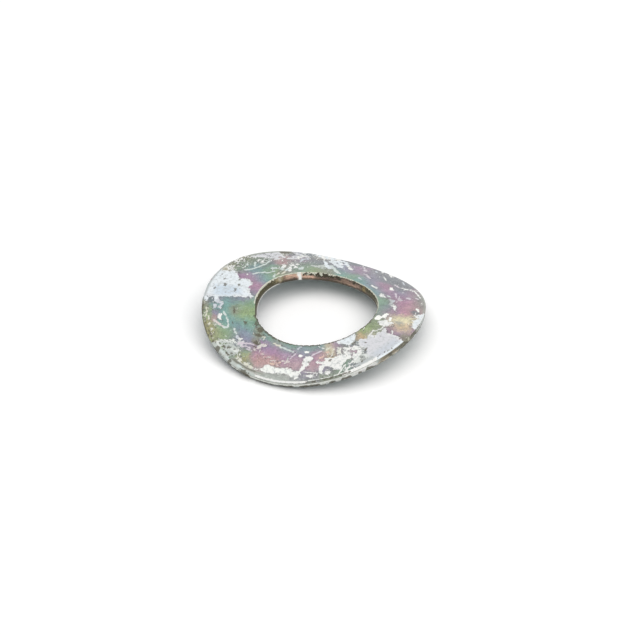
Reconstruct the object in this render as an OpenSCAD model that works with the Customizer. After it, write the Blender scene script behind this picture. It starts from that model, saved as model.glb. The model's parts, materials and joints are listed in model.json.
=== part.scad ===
// Curved spring washer for an M8 bolt: a flat ring blanked from strip and bent into one arch,
// so it stands on two points of its rim and springs flat under a bolt head.
// X runs along the crest of the arch and Y across it. The rim's centre is at X = Y = 0,
// and the washer stands on Z = 0.

/* [Washer] */
// Outside diameter of the flat blank
outside_d = 15; // [13:0.1:18]
// Bore, measured straight through the bent washer
bore_d = 8.2; // [6.4:0.1:10.1]
// Thickness of the plated sheet
sheet_t = 0.6; // [0.4:0.01:0.8]
// Free height, from the surface it stands on to the top of the crest
free_h = 2.15; // [1.6:0.05:3.4]

/* [Bore centre] */
// How far the punch ran off centre along the crest
off_along = 0.3; // [0:0.05:0.4]
// How far the punch ran off centre across the crest
off_across = -0.2; // [-0.4:0.05:0.4]

/* [Punched edges] */
// Width of the rim's roll-over, on the upper face, where the die entered
rim_roll_w = 0.3; // [0.1:0.01:0.4]
// Depth of the rim's roll-over
rim_roll_h = 0.1; // [0.04:0.01:0.14]
// Width of the bore's roll-over, on the under face, where the punch entered
bore_roll_w = 0.14; // [0.1:0.01:0.3]
// Depth of the bore's roll-over
bore_roll_h = 0.04; // [0.02:0.01:0.1]
// Height of the torn band on the far side of the sheet
tear_h = 0.2; // [0.1:0.01:0.24]
// Step from the sheared band back to the torn band
tear_step = 0.02; // [0.01:0.01:0.04]
// Depth of the torn band at the face of the sheet
tear_in = 0.06; // [0.05:0.01:0.1]

/* [Smoothness] */
// Steps around the ring
steps = 144; // [96:8:192]

/* [Hidden] */

rim_r = outside_d / 2;
bore_r = bore_d / 2;
top = sheet_t / 2;
foot_r = rim_r - tear_in;
degrees_per_radian = 180 / PI;
roll_points = 5;
roll_sweep = 80;
face_points = 3;
// Sheet left inside the bore's line for the bore to cut away
bore_stock = 0.15;
cut_clear = 1;

// Height of an arch whose middle layer bends on radius r, from its foot to its crest
function arch_h(r) = r + top - (r - top) * cos(foot_r / r * degrees_per_radian);
// Bend radius that gives the free height, closing in on it from a first guess
function bend_for(r, tries) =
    tries == 0 ? r : bend_for(r * (arch_h(r) - sheet_t) / (free_h - sheet_t), tries - 1);
bend_r = bend_for(foot_r * foot_r / (2 * (free_h - sheet_t)), 12);
foot_z = bend_r + top - free_h;

// Point of the bent sheet for a point x, y of the flat blank at height h from its middle layer
function bent(x, y, h) = let (turn = y / bend_r * degrees_per_radian)
    [x, (bend_r + h) * sin(turn), (bend_r + h) * cos(turn) - foot_z];
// Where the flat blank's y lies for a point that is y from the crest once bent
function flat_y(y, h) = bend_r * asin(y / (bend_r + h)) / degrees_per_radian;

// Blank point on the rim, set in from it
function rim_point(turn, inset) = (rim_r - inset) * [cos(turn), sin(turn)];
// Blank point on the bore, set back from it, placed so that the bent bore is round from above
function bore_point(turn, inset, h) = let (r = bore_r + inset)
    [off_along + r * cos(turn), flat_y(off_across + r * sin(turn), h)];

// Quarter-round roll-over, from the face of the sheet towards the wall, as [inset, depth]
function roll(w, h) = [for (i = [0:roll_points - 1]) let (a = i * roll_sweep / (roll_points - 1))
    [w * (1 - sin(a)), h * (1 - cos(a))]];
rim_roll = roll(rim_roll_w, rim_roll_h);
bore_roll = roll(bore_roll_w, bore_roll_h);

// The section, as [share of the way from bore to rim, inset from that edge, height in the sheet]
rim_edge = concat(
    [for (p = rim_roll) [1, p[0], top - p[1]]],
    [[1, 0, top - rim_roll_h], [1, 0, tear_h - top]],
    [[1, tear_step, tear_h - top], [1, tear_in, -top]]
);
under_face = [for (i = [face_points:-1:1]) [i / (face_points + 1), 0, -top]];
bore_edge = concat(
    [for (p = bore_roll) [0, p[0], p[1] - top]],
    [[0, -bore_stock, bore_roll[roll_points - 1][1] - top], [0, -bore_stock, top - tear_h]],
    [[0, tear_step, top - tear_h], [0, tear_in, top]]
);
top_face = [for (i = [1:face_points]) [i / (face_points + 1), 0, top]];
section = concat(rim_edge, under_face, bore_edge, top_face);

function ring_point(p, turn) =
    let (q = bore_point(turn, p[1], p[2]) * (1 - p[0]) + rim_point(turn, p[1]) * p[0])
    bent(q[0], q[1], p[2]);

// The bent ring, with its bore still undersize
module bent_ring() {
    count = len(section);
    points = [for (i = [0:steps - 1]) for (p = section) ring_point(p, 360 * i / steps)];
    function at(i, j) = (i % steps) * count + j % count;
    faces = [for (i = [0:steps - 1]) for (j = [0:count - 1])
        each [[at(i, j), at(i, j + 1), at(i + 1, j + 1)], [at(i, j), at(i + 1, j + 1), at(i + 1, j)]]];
    polyhedron(points, faces);
}

module washer() {
    color([0.68, 0.70, 0.65])
    difference() {
        bent_ring();
        translate([off_along, off_across, -cut_clear])
            cylinder(d = bore_d, h = free_h + 2 * cut_clear, $fn = 144);
    }
}

washer();
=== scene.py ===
import json
import math

import bpy
import numpy as np
from mathutils import Matrix, Vector


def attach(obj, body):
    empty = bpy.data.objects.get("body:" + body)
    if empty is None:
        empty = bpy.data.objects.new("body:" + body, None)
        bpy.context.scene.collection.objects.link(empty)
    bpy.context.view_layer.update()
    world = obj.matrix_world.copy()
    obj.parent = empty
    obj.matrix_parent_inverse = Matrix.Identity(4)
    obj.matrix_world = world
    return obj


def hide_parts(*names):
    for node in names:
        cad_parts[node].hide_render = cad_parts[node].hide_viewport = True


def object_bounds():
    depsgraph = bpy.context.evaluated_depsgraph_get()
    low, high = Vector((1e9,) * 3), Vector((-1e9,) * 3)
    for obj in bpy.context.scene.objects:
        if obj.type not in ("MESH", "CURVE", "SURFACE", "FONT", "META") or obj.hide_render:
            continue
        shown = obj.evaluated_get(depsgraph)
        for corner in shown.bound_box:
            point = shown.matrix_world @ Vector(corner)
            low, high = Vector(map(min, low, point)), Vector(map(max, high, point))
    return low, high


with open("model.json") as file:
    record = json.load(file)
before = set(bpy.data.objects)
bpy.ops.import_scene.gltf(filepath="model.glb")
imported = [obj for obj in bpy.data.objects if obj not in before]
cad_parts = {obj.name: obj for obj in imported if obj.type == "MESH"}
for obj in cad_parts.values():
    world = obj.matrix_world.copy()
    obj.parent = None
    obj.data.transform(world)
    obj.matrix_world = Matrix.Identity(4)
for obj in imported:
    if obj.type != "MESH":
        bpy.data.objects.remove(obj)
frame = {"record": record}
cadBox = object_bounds()
mm = 0.001

# Sizes in millimetres. The frame gives the outer radius, the height and the bore
bore = next(m for m in frame["record"]["mounts"] if m["name"] == "bore")
sheet = {
    "thick": 0.6,
    "rimRadius": (cadBox[1].x - cadBox[0].x) / 2 / mm,
    "freeHeight": (cadBox[1].z - cadBox[0].z) / mm,
    "boreRadius": bore["dims"]["r_mm"],
    "boreX": bore["pos_m"][0] / mm,
    "boreY": bore["pos_m"][1] / mm,
    "tearIn": 0.06,  # how far the rim's torn band has leant in where it meets the face
}
top = sheet["thick"] / 2  # height of the upper face over the middle layer


# Bend radius of the middle layer: an arch on radius r, from its foot to its crest, is
# r + top - (r - top) cos(foot / r) high, and r is closed in on from a first guess
def bendRadius():
    foot = sheet["rimRadius"] - sheet["tearIn"]
    rise = sheet["freeHeight"] - sheet["thick"]
    radius = foot**2 / (2 * rise)
    for _ in range(12):
        height = radius + top - (radius - top) * math.cos(foot / radius)
        radius *= (height - sheet["thick"]) / rise
    return radius


bend = bendRadius()
footZ = bend + top - sheet["freeHeight"]
print("bend radius", round(bend, 2), "mm")


# Value noise: random numbers from -1 to 1 on a square lattice, blended by 3t^2 - 2t^3 between
# its points. The first direction repeats after `around` cells, if that is given
def latticeNoise(u, v, seed, around=0):
    size = 512
    lattice = np.random.default_rng(seed).uniform(-1, 1, (size, size))
    u0, v0 = np.floor(u).astype(int), np.floor(v).astype(int)
    du, dv = u - u0, v - v0
    du, dv = du * du * (3 - 2 * du), dv * dv * (3 - 2 * dv)
    wrap = around or size
    a, b, c, d = u0 % wrap, (u0 + 1) % wrap, v0 % size, (v0 + 1) % size
    low = lattice[a, c] * (1 - du) + lattice[b, c] * du
    high = lattice[a, d] * (1 - du) + lattice[b, d] * du
    return low * (1 - dv) + high * dv


# Layers of that noise in the plane, each half the size and strength of the one before. The
# plane's middle is at 90, 70 on the lattice
def cloudNoise(x, y, size, seed, layers=3):
    total, weight = 0, 0
    for k in range(layers):
        total = total + latticeNoise(x / size * 2**k + 90, y / size * 2**k + 70, seed + k) / 2**k
        weight += 1 / 2**k
    return total / weight


# Lattice noise with `cells` lumps to the turn, and `down` along its other direction
def ringLattice(turn, cells, down, seed):
    return latticeNoise(turn / (2 * np.pi) * cells, down + 0 * turn, seed, cells)


# Factor that wanders round 1: up to `much` either way, in lumps of `cells` to the turn and two
# finer layers
def wander(turn, much, cells, seed):
    layers = [ringLattice(turn, cells * 2**k, 0, seed + k) / 2**k for k in range(3)]
    return 1 + much * (sum(layers) / 1.75)


# The point of the bent sheet for blank point x, y at height h from its middle layer:
# y becomes an angle on the bend radius
def bent(x, y, h):
    angle = y / bend
    return np.stack([x, (bend + h) * np.sin(angle), (bend + h) * np.cos(angle) - footZ], axis=-1)


# Blank point on the rim at `turn`, set in from it
def rimPoint(turn, inset):
    r = sheet["rimRadius"] - inset
    return r * np.cos(turn), r * np.sin(turn)


# Blank point on the bore, set back from it, so that the bent bore is round from above
def borePoint(turn, inset, h):
    r = sheet["boreRadius"] + inset
    y = sheet["boreY"] + r * np.sin(turn)
    return sheet["boreX"] + r * np.cos(turn), bend * np.arcsin(y / (bend + h))


# Blank point for a place on the ring: degrees round it, and the percentage of the way from the
# bore (0) to the rim (100)
def place(degrees, percent):
    turn, share = np.radians(degrees), percent / 100
    bx, by = borePoint(turn, 0, top)
    rx, ry = rimPoint(turn, 0)
    return bx * (1 - share) + rx * share, by * (1 - share) + ry * share


# Widths and depths are in mm. A wander is the share that a size gains or loses and the number
# of lumps to the turn, and pairs in a list are degrees and mm
washerShape = {
    "steps": 900,  # round the ring
    "facePoints": 64,  # across the upper face
    "underPoints": 10,
    "rollPoints": 7,
    "tornPoints": 6,
    "rimRoll": (0.30, 0.10),  # width and depth
    "boreRoll": (0.14, 0.04),
    "rollSweep": 86,  # degrees
    "widthWander": (0.18, 9),
    "depthWander": (0.2, 7),
    "landAt": (0.25, 0.6, 0.97),  # shares of the way down the straight land
    "tearHeight": 0.20,
    "tearWander": (0.3, 40),
    "tearStep": 0.02,
    "tearDrop": 0.012,  # height of that step
    "tearEnd": 0.015,  # how far the torn band ends from the far face
    "tearRough": 0.032,
    "tearLumps": (420, 150),  # fine and broad, to the turn
    "broadLumps": 0.6,  # strength of the broad ones
    "boreTearIn": [(10, 0.02), (30, 0.05), (185, 0.05), (198, -0.05), (213, -0.06), (222, 0.02)],
    "burr": [(155, 0), (175, 0.06), (195, 0.13), (212, 0.15), (221, 0)],  # at the bore's foot
    "upperStart": 0.04,  # how far outside the torn bands the faces start
    "underStart": 0.06,
    "waviness": 0.006,
    "waveSize": 2.2,
}


# Value at every turn from pairs of degrees and values
def roundTheRing(turn, stops):
    at, values = zip(*stops)
    return np.interp(np.degrees(turn), at, values, period=360)


# Punched edge from the rolled face to the far face, as arrays of inset and height. Roll: inset
# w(1 - sin a), depth d(1 - cos a). Then a straight land, and a torn band that leans in and is
# roughest past its middle
def punchedEdge(turn, seed, roll, tearIn):
    s = washerShape
    rollWidth = roll[0] * wander(turn, *s["widthWander"], seed)
    rollDepth = roll[1] * wander(turn, *s["depthWander"], seed + 5)
    tearLine = s["tearHeight"] * wander(turn, *s["tearWander"], seed + 9) - top
    insets, heights = [], []
    for a in np.linspace(0, math.radians(s["rollSweep"]), s["rollPoints"]):
        insets.append(rollWidth * (1 - np.sin(a)))
        heights.append(top - rollDepth * (1 - np.cos(a)))
    landTop = heights[-1]
    for k in s["landAt"]:
        insets.append(0 * turn)
        heights.append(landTop * (1 - k) + tearLine * k)
    fine, broad = s["tearLumps"]
    for k in np.linspace(0, 1, s["tornPoints"]):
        rough = ringLattice(turn, fine, 3 * k, seed + 20)
        rough = rough + s["broadLumps"] * ringLattice(turn, broad, 2 * k, seed + 21)
        lean = s["tearStep"] + (tearIn - s["tearStep"]) * k
        insets.append(lean + s["tearRough"] * rough * math.sin(math.pi * (0.15 + 0.6 * k)))
        heights.append((tearLine - s["tearDrop"]) * (1 - k) + (s["tearEnd"] - top) * k)
    return np.array(insets).T, np.array(heights).T


# Every point of the washer as flat blank x, y and height, on a grid of turn and section, with
# its side (1 upper face, -1 under face) and its kind (0 face, 1 rim edge, 2 bore edge)
def washerGrid():
    s = washerShape
    turn = np.linspace(0, 2 * np.pi, s["steps"], endpoint=False)
    columns = []

    def add(x, y, h, side, kind):
        columns.append((x, y, h + 0 * turn, side + 0 * turn, kind + 0 * turn))

    leanAtBore = roundTheRing(turn, s["boreTearIn"])
    bx, by = borePoint(turn, leanAtBore + s["upperStart"], top)
    inset, height = punchedEdge(turn, 11, s["rimRoll"], sheet["tearIn"])
    rx, ry = rimPoint(turn, inset[:, 0])
    for k in np.linspace(0, 1, s["facePoints"] + 1)[:-1]:
        add(bx * (1 - k) + rx * k, by * (1 - k) + ry * k, top, 1, 0)
    for j in range(inset.shape[1]):
        x, y = rimPoint(turn, inset[:, j])
        add(x, y, height[:, j], *((1, 0) if j < s["rollPoints"] else (0, 1)))
    ux, uy = rimPoint(turn, sheet["tearIn"] + s["underStart"])
    inset, height = punchedEdge(turn, 51, s["boreRoll"], leanAtBore)
    burr = roundTheRing(turn, s["burr"])
    inset = inset - burr[:, None] * np.clip(height / (2 * top) + 0.5, 0, 1)
    vx, vy = borePoint(turn, inset[:, 0], -top)
    for k in np.linspace(0, 1, s["underPoints"] + 1)[:-1]:
        add(ux * (1 - k) + vx * k, uy * (1 - k) + vy * k, -top, -1, 0)
    for j in range(inset.shape[1]):
        x, y = borePoint(turn, inset[:, j], -height[:, j])
        add(x, y, -height[:, j], *((-1, 0) if j < s["rollPoints"] else (0, 2)))
    return turn, [np.stack(c, axis=1) for c in zip(*columns)]


# A closed ring of quads over a grid whose rows run round it and whose columns close on
# themselves, facing outwards
def ringMesh(name, grid):
    rows, cols = grid.shape[:2]
    i, j = np.meshgrid(np.arange(rows), np.arange(cols), indexing="ij")
    corners = [(i, j), (i + 1, j), (i + 1, j + 1), (i, j + 1)]
    faces = np.stack([(a % rows) * cols + b % cols for a, b in corners], axis=-1)
    mesh = bpy.data.meshes.new(name)
    mesh.vertices.add(rows * cols)
    mesh.vertices.foreach_set("co", grid.reshape(-1).astype(np.float32))
    mesh.loops.add(rows * cols * 4)
    mesh.loops.foreach_set("vertex_index", faces.reshape(-1).astype(np.int32))
    mesh.polygons.add(rows * cols)
    mesh.polygons.foreach_set("loop_start", np.arange(0, rows * cols * 4, 4, dtype=np.int32))
    mesh.update(calc_edges=True)
    mesh.polygons.foreach_set("use_smooth", np.ones(rows * cols, dtype=bool))
    piece = bpy.data.objects.new(name, mesh)
    bpy.context.scene.collection.objects.link(piece)
    return piece


turn, (flatX, flatY, height, side, kind) = washerGrid()
waves = cloudNoise(flatX, flatY, washerShape["waveSize"], 301)
height = height + washerShape["waviness"] * side**2 * waves
washer = ringMesh("washer_plated", bent(flatX, flatY, height) * mm)
print("washer mesh", len(washer.data.polygons) * 2, "triangles")

# Colours of bare metal, of dirt, of cut metal, and of painted shade and highlight
finish = {
    "white": (0.88, 0.88, 0.85), "silver": (0.72, 0.75, 0.71), "lilac": (0.71, 0.71, 0.74),
    "frost": (0.81, 0.86, 0.89), "sky": (0.65, 0.74, 0.82), "straw": (0.58, 0.57, 0.42),
    "cream": (0.72, 0.71, 0.6), "dull": (0.5, 0.53, 0.53), "ice": (0.64, 0.71, 0.68),
    "butter": (0.72, 0.7, 0.59), "blush": (0.67, 0.6, 0.66), "petal": (0.7, 0.64, 0.61),
    "peach": (0.74, 0.54, 0.44), "gleam": (1.0, 1.0, 0.95), "pewter": (0.55, 0.59, 0.55),
    "bright": (0.9, 0.92, 0.87), "haze": (0.62, 0.65, 0.7),
    # fringe is the colour of the painted shade along the film's broken edges
    "crust": (0.1, 0.09, 0.06), "paleFilm": (0.62, 0.62, 0.62), "fringeShade": (0.14, 0.14, 0.14),
    "fleck": (0.15, 0.15, 0.15), "mark": (0.25, 0.25, 0.25), "pit": (0.12, 0.12, 0.12),
    "rimPale": (0.82, 0.84, 0.79), "rimBlue": (0.5, 0.55, 0.54), "rimGrey": (0.34, 0.36, 0.31),
    "rimOlive": (0.25, 0.24, 0.17), "rimBrown": (0.24, 0.19, 0.12), "rimDark": (0.1, 0.09, 0.06),
    "rimShade": (0.21, 0.21, 0.17), "rimTan": (0.55, 0.5, 0.4),
    "copper": (0.32, 0.215, 0.165), "rosyCopper": (0.88, 0.58, 0.44), "copperShade": (0.16, 0.105, 0.085),
    "boreGold": (0.36, 0.26, 0.11), "boreGrey": (0.44, 0.44, 0.34), "boreFleck": (0.4, 0.33, 0.19),
    "boreOlive": (0.1, 0.09, 0.045), "boreDark": (0.065, 0.055, 0.035), "lip": (0.7, 0.7, 0.58),
}

# The chromate film on the zinc. Its tints follow each other as it thickens, and each spot gives
# the tint round a place. Here and below, a place is degrees round the ring and percent of the way
# from the bore to the rim. After the tint come its strength, if it isn't 1, and its reach in mm,
# if it is a small one
film = {
    "tints": {
        "olive": (0.3, 0.29, 0.17), "leaf": (0.33, 0.43, 0.22), "green": (0.24, 0.385, 0.265),
        "teal": (0.21, 0.395, 0.365), "slate": (0.215, 0.355, 0.375), "blue": (0.24, 0.31, 0.435),
        "violet": (0.31, 0.28, 0.4), "mauve": (0.4, 0.26, 0.385), "pink": (0.47, 0.27, 0.37),
        "salmon": (0.51, 0.33, 0.33), "rose": (0.51, 0.37, 0.4), "apricot": (0.62, 0.41, 0.36),
        "amber": (0.62, 0.43, 0.26), "tan": (0.65, 0.53, 0.36), "gold": (0.76, 0.71, 0.49),
        "pine": (0.19, 0.26, 0.19), "khaki": (0.4, 0.38, 0.2), "lime": (0.33, 0.42, 0.2),
        "moss": (0.3, 0.35, 0.27), "steel": (0.46, 0.49, 0.45), "shadow": (0.19, 0.22, 0.24),
    },
    "faded": (0.305, 0.30, 0.325),  # what a weak spot is mixed with
    "reach": 0.55,
    "warp": 0.16,  # mm that clouds push the spots about
    "warpSize": 0.8,
    "stir": (0.18, -0.15),  # mm between the two layers that are stirred together
    "spots": [
        # right to far side
        (0, 84, "tan", 0.8, 0.3), (1, 71, "tan", 1.3), (1, 93, "mauve", 0.7), (2, 76, "tan", 1.3, 0.3),
        (4.5, 63, "steel", 0.5, 0.2), (8, 57, "gold", 1.1), (8, 72, "gold"), (10, 61, "gold", 1.2, 0.3),
        (12, 45, "tan", 0.6, 0.3), (14.5, 68, "salmon", 1, 0.25), (15, 34, "mauve", 0.7),
        (16, 48, "mauve", 1, 0.3), (16.5, 60, "pink", 1.2, 0.3), (17, 62, "salmon"),
        (18, 13, "green", 0.6), (18, 80, "shadow", 1, 0.2), (20, 47, "pink"), (24, 26, "slate", 0.5),
        (25, 78, "salmon"), (26, 93, "moss", 0.5), (27, 66, "pink"), (31, 50, "pink"),
        (33, 15, "green", 0.9), (38, 48, "mauve"), (40, 95, "moss", 0.6), (43, 77, "pink", 0.8),
        (45, 34, "mauve", 0.9), (45, 60, "blue", 0.5), (50, 13, "slate", 0.8), (52, 62, "shadow", 0.5),
        (53, 30, "pink"), (57, 9, "teal"), (57, 82, "shadow", 0.45), (58, 20, "violet", 0.8),
        (60, 34, "pink"), (62, 90, "shadow", 0.5), (65, 58, "shadow", 0.6), (66, 72, "shadow", 0.5),
        (68, 20, "blue", 0.5), (71, 36, "violet", 0.6), (75, 12, "teal", 0.9), (77, 80, "shadow", 0.4),
        (78, 52, "violet", 0.4), (86, 15, "green", 0.9), (86, 42, "mauve", 0.6),
        # far side to left
        (90, 62, "mauve", 0.9), (94, 33, "violet", 0.5), (94.5, 88, "shadow", 0.9), (97, 15, "teal"),
        (98, 46, "blue", 0.6), (106, 15, "green", 0.6), (108, 13, "olive", 0.7, 0.4),
        (112, 50, "shadow", 0.6, 0.4), (113, 5, "olive", 0.7), (117, 28, "green", 0.6),
        (117, 75, "olive", 0.4), (119, 48, "shadow", 0.5), (121, 12, "leaf"),
        (121.5, 87, "shadow", 1, 0.3), (122, 90, "slate", 0.4), (127, 25, "green", 0.7),
        (129, 78, "blue", 0.3), (130, 50, "mauve", 0.6), (133, 12, "green", 0.7),
        (134, 42, "steel", 0.7, 0.35), (135, 90, "olive", 0.8), (138, 53, "salmon", 0.8, 0.35),
        (143, 47, "salmon", 1, 0.35), (144.5, 44, "salmon", 0.8, 0.2), (145, 12, "moss", 0.5),
        (148, 90, "slate", 0.1), (149, 50, "shadow", 0.6, 0.35), (150, 10, "olive", 0.9),
        (151, 30, "green", 1, 0.3), (152, 65, "pine"), (153, 63, "pine", 0.8, 0.35),
        (156, 46, "pine", 0.7, 0.25), (157, 13, "leaf", 0.8), (158, 27, "green", 1, 0.35),
        (158, 42, "slate", 0.9), (158, 74, "pine", 0.8, 0.4), (160, 88, "olive"), (163, 15, "green"),
        (163, 70, "moss", 1, 0.25), (165, 44, "slate", 0.9), (165, 78, "pine", 0.9, 0.4),
        (168, 16, "teal"), (168, 68, "green", 0.8), (170, 88, "olive"), (171, 22, "blue"),
        (175, 28, "pink"), (176, 88, "gold", 0.6, 0.2), (177, 47, "mauve"),
        # left to near side
        (184, 13, "pink"), (191, 8, "mauve", 0.8), (198, 20, "blue", 0.7), (200, 38, "blue"),
        (201, 22, "violet", 0.5, 0.25), (202, 40, "shadow", 0.6, 0.25), (202.5, 86, "shadow", 0.9, 0.25),
        (203, 10, "green"), (203, 53, "teal"), (204, 66, "violet", 0.5, 0.3), (206, 38, "teal"),
        (206, 94, "olive", 0.7, 0.3), (208, 80, "slate"), (209, 15, "green"), (210, 60, "teal"),
        (210, 95, "olive", 1, 0.25), (211, 30, "leaf", 0.5), (211, 88, "leaf", 0.9, 0.3),
        (214, 10, "leaf"), (215, 36, "olive", 0.6, 0.3), (215, 77, "violet", 0.9, 0.25),
        (216, 90, "leaf", 0.9, 0.25), (217, 28, "leaf"), (218, 77, "salmon", 0.8, 0.18),
        (219, 47, "teal"), (221, 17, "leaf", 1.1), (221, 65, "teal"), (221.5, 87, "khaki", 1, 0.3),
        (224, 97, "olive", 1, 0.25), (226, 43, "slate"), (226, 88, "khaki", 1.1, 0.4), (230, 63, "green"),
        (231, 12, "green"), (231, 28, "teal"), (232, 90, "khaki", 0.8, 0.4), (233, 76, "leaf"),
        (234, 42, "blue", 0.8), (236, 88, "leaf", 0.9), (237, 60, "green", 0.6), (240, 15, "teal", 0.9),
        (241, 42, "violet"), (242, 10, "olive", 0.8, 0.25), (245, 37, "blue", 0.7),
        (247, 20, "olive", 0.8, 0.25), (248, 55, "violet", 0.6), (250, 14, "teal", 0.8),
        (250, 69, "green", 0.8), (251, 34, "olive", 0.8, 0.2), (252, 48, "mauve", 0.9),
        (253.5, 75, "khaki", 1.1, 0.38), (254, 65, "green", 1.2, 0.32), (256, 70, "khaki", 1.2, 0.2),
        (257, 79, "khaki", 1, 0.3), (258, 29, "mauve", 1.4, 0.2), (259, 10, "green", 0.9),
        (259, 30, "violet", 1.2, 0.3), (259.5, 59, "pink"), (260, 42, "pink"),
        (260, 77, "moss", 1.3, 0.25), (262, 27, "violet", 1.3), (263, 69, "salmon"),
        (264, 60, "apricot", 1, 0.35), (266, 80, "salmon", 0.9, 0.3), (266, 90, "steel", 1, 0.4),
        (267, 33, "mauve", 1.3, 0.35), (267, 38, "mauve"), (267, 58, "salmon"), (268, 13, "leaf", 0.6),
        # near side to right
        (272, 57, "apricot", 1, 0.35), (273, 42, "pink"), (274, 24, "violet", 0.9),
        (274, 89, "steel", 1, 0.4), (275, 10, "teal"), (279, 37, "mauve"), (281, 8, "green"),
        (282, 89, "steel", 1, 0.4), (284, 60, "rose"), (286, 32, "mauve"), (288, 48, "rose"),
        (290, 90, "steel", 0.6, 0.3), (291, 20, "blue", 0.8), (294, 82, "violet", 0.7, 0.4),
        (296, 8, "green"), (297, 93, "moss", 0.8), (298, 63, "rose", 1.3), (300, 23, "violet", 0.6),
        (301, 36, "pink", 1, 0.4), (301, 86, "violet", 0.5), (305, 36, "salmon", 1, 0.3),
        (305, 92, "leaf", 0.6, 0.3), (305.5, 14, "slate", 0.9, 0.4), (306, 79, "violet", 0.7, 0.3),
        (309, 90, "moss", 0.8), (311, 12, "tan", 0.8, 0.3), (311, 37, "tan", 0.8, 0.35),
        (311.5, 22, "gold", 1, 0.35), (316, 17, "mauve", 1, 0.3), (317, 88, "green", 0.8),
        (318, 36, "mauve", 0.6, 0.3), (320, 36, "olive", 0.6), (321, 90, "shadow", 0.7, 0.25),
        (322, 45, "steel", 1, 0.3), (323, 14, "slate", 0.6), (325.5, 52, "pink", 0.8, 0.3),
        (327, 80, "steel", 0.8, 0.3), (329, 62, "steel", 1, 0.3), (330, 26, "slate", 0.4),
        (331, 68, "shadow", 0.6, 0.25), (335, 10, "moss", 0.8), (338, 22, "amber", 1, 0.3),
        (338, 96, "moss", 0.5), (345, 14, "lime"), (345, 31, "gold", 0.6, 0.25), (350, 17, "lime", 1.2),
        (350, 33, "moss"), (354, 86, "mauve", 0.7, 0.4), (354, 97, "olive", 0.7, 0.25),
        (356, 55, "mauve", 0.9), (357, 20, "lime", 0.8), (358, 6, "moss", 0.7),
    ],
}

# Where the film has worn off the zinc. A patch has how bare it is, in mm (0 is half film), its
# colour, and the places along its outline
wornPatches = [
    (0.3, "frost", (178, 103), (201, 103), (201, 80), (200, 55), (199.5, 42), (198, 32), (198.5, 20),
     (196.5, 5), (193, 12), (190, 20), (186, 22), (180, 23), (178, 30), (177.5, 42), (179, 52), (176, 62),
     (174, 72), (177, 85)),
    (0.3, "sky", (188, 50), (191, 85), (200, 82), (199, 50), (196, 42), (196, 30), (190, 35)),
    (0.0, "lilac", (199, 103), (207, 103), (205, 92), (202, 90), (200, 75)),
    (0.03, "silver", (234, 97), (233.5, 85), (236, 75), (239, 64), (239, 52), (245, 50), (247, 58),
     (248, 70), (253, 86), (258, 86), (258, 97)),
    (-0.02, "silver", (321, 100), (321, 85), (323, 50), (330, 42), (335, 50), (335, 90), (333, 103)),
    (0.3, "bright", (264, 86), (268, 76), (270, 68), (277, 66), (283, 63.5), (288, 71), (290, 86)),
    (0.3, "white", (289, 86), (291.5, 84), (291, 72), (293, 65), (294.5, 55), (295.5, 46), (297.8, 40),
     (297.5, 33), (293, 32), (291, 36), (292, 47), (291, 62), (290, 72), (287, 68), (286, 72)),
    (0.2, "white", (300.5, 47), (301, 54), (305, 56), (307, 66), (309, 70), (312, 86), (315, 80),
     (317, 70), (320, 62), (321, 50), (318, 42), (314, 43), (311, 47), (308, 45), (305, 49)),
    (0.15, "white", (302, 60), (304, 60), (305, 70), (304, 85), (302, 82)),
    (0.2, "silver", (322, 62), (324, 83), (326, 80), (328, 66), (330.5, 60), (328, 55), (325, 60)),
    (0.15, "white", (321, 40), (322, 60), (323, 58), (323, 42), (326, 40), (331, 45), (332, 40),
     (327, 34), (322, 28)),
    (0.3, "lilac", (331, 46), (333, 52), (331.5, 70), (330, 103), (351, 103), (352.5, 85), (353.5, 74),
     (352, 60), (356.5, 42), (349, 40), (345, 42), (344, 22), (339, 33), (335, 20), (333, 27), (332, 38)),
    (0.12, "silver", (324, 103), (325, 90), (331, 82), (332, 103)),
    (-0.4, "haze", (334, 78), (333, 103), (351, 103), (350, 80)),
    (-0.4, "cream", (204, 86), (204, 103), (234, 103), (234, 86)),
    (0.25, "frost", (321, -2), (319, 10), (321.5, 18), (325, 27), (330, 26), (333, 22), (336, 10),
     (339, -2)),
    (0.1, "cream", (315.5, 42), (316.8, 20), (318.3, 18), (318.3, 42)),
    (0.25, "white", (357, 37), (361, 45), (364, 50), (364, 40), (366, 34), (365, 22), (361, 17),
     (359, 27)),
    (0.25, "frost", (3, 103), (4, 90), (9, 86), (13, 90), (15, 82), (17, 90), (20, 103)),
    (0.05, "frost", (101, 55), (105, 48), (108, 55), (110, 75), (119, 85), (119, 103), (101, 103),
     (103, 80)),
    (0.04, "lilac", (123, 70), (124, 103), (132, 103), (130, 80), (137, 60), (130, 55)),
    (0.04, "lilac", (138, 66), (139, 103), (157, 103), (155, 85), (150, 75), (146, 60)),
]

# Small bare chips: place, half length and half width in mm, and lean in degrees if they don't lie
# along the ring
chips = [
    (24, 36, 0.36, 0.12, 5), (44.5, 17, 0.27, 0.2), (48, 85, 0.16, 0.08), (50.5, 74, 0.12, 0.12),
    (57.5, 63, 0.13, 0.1), (62.5, 16.5, 0.3, 0.1), (172.5, 47, 0.1, 0.08), (201, 95.5, 0.16, 0.06),
    (206, 96.5, 0.12, 0.04), (211, 91.5, 0.22, 0.06), (216.5, 95.5, 0.14, 0.05), (218, 67, 0.2, 0.12),
    (219, 87.5, 0.08, 0.06), (221.5, 93, 0.1, 0.06), (226, 89, 0.07, 0.05), (228.5, 92, 0.08, 0.08),
    (240.5, 49, 0.1, 0.08), (306.5, 83, 0.1, 0.1),
]
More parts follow.
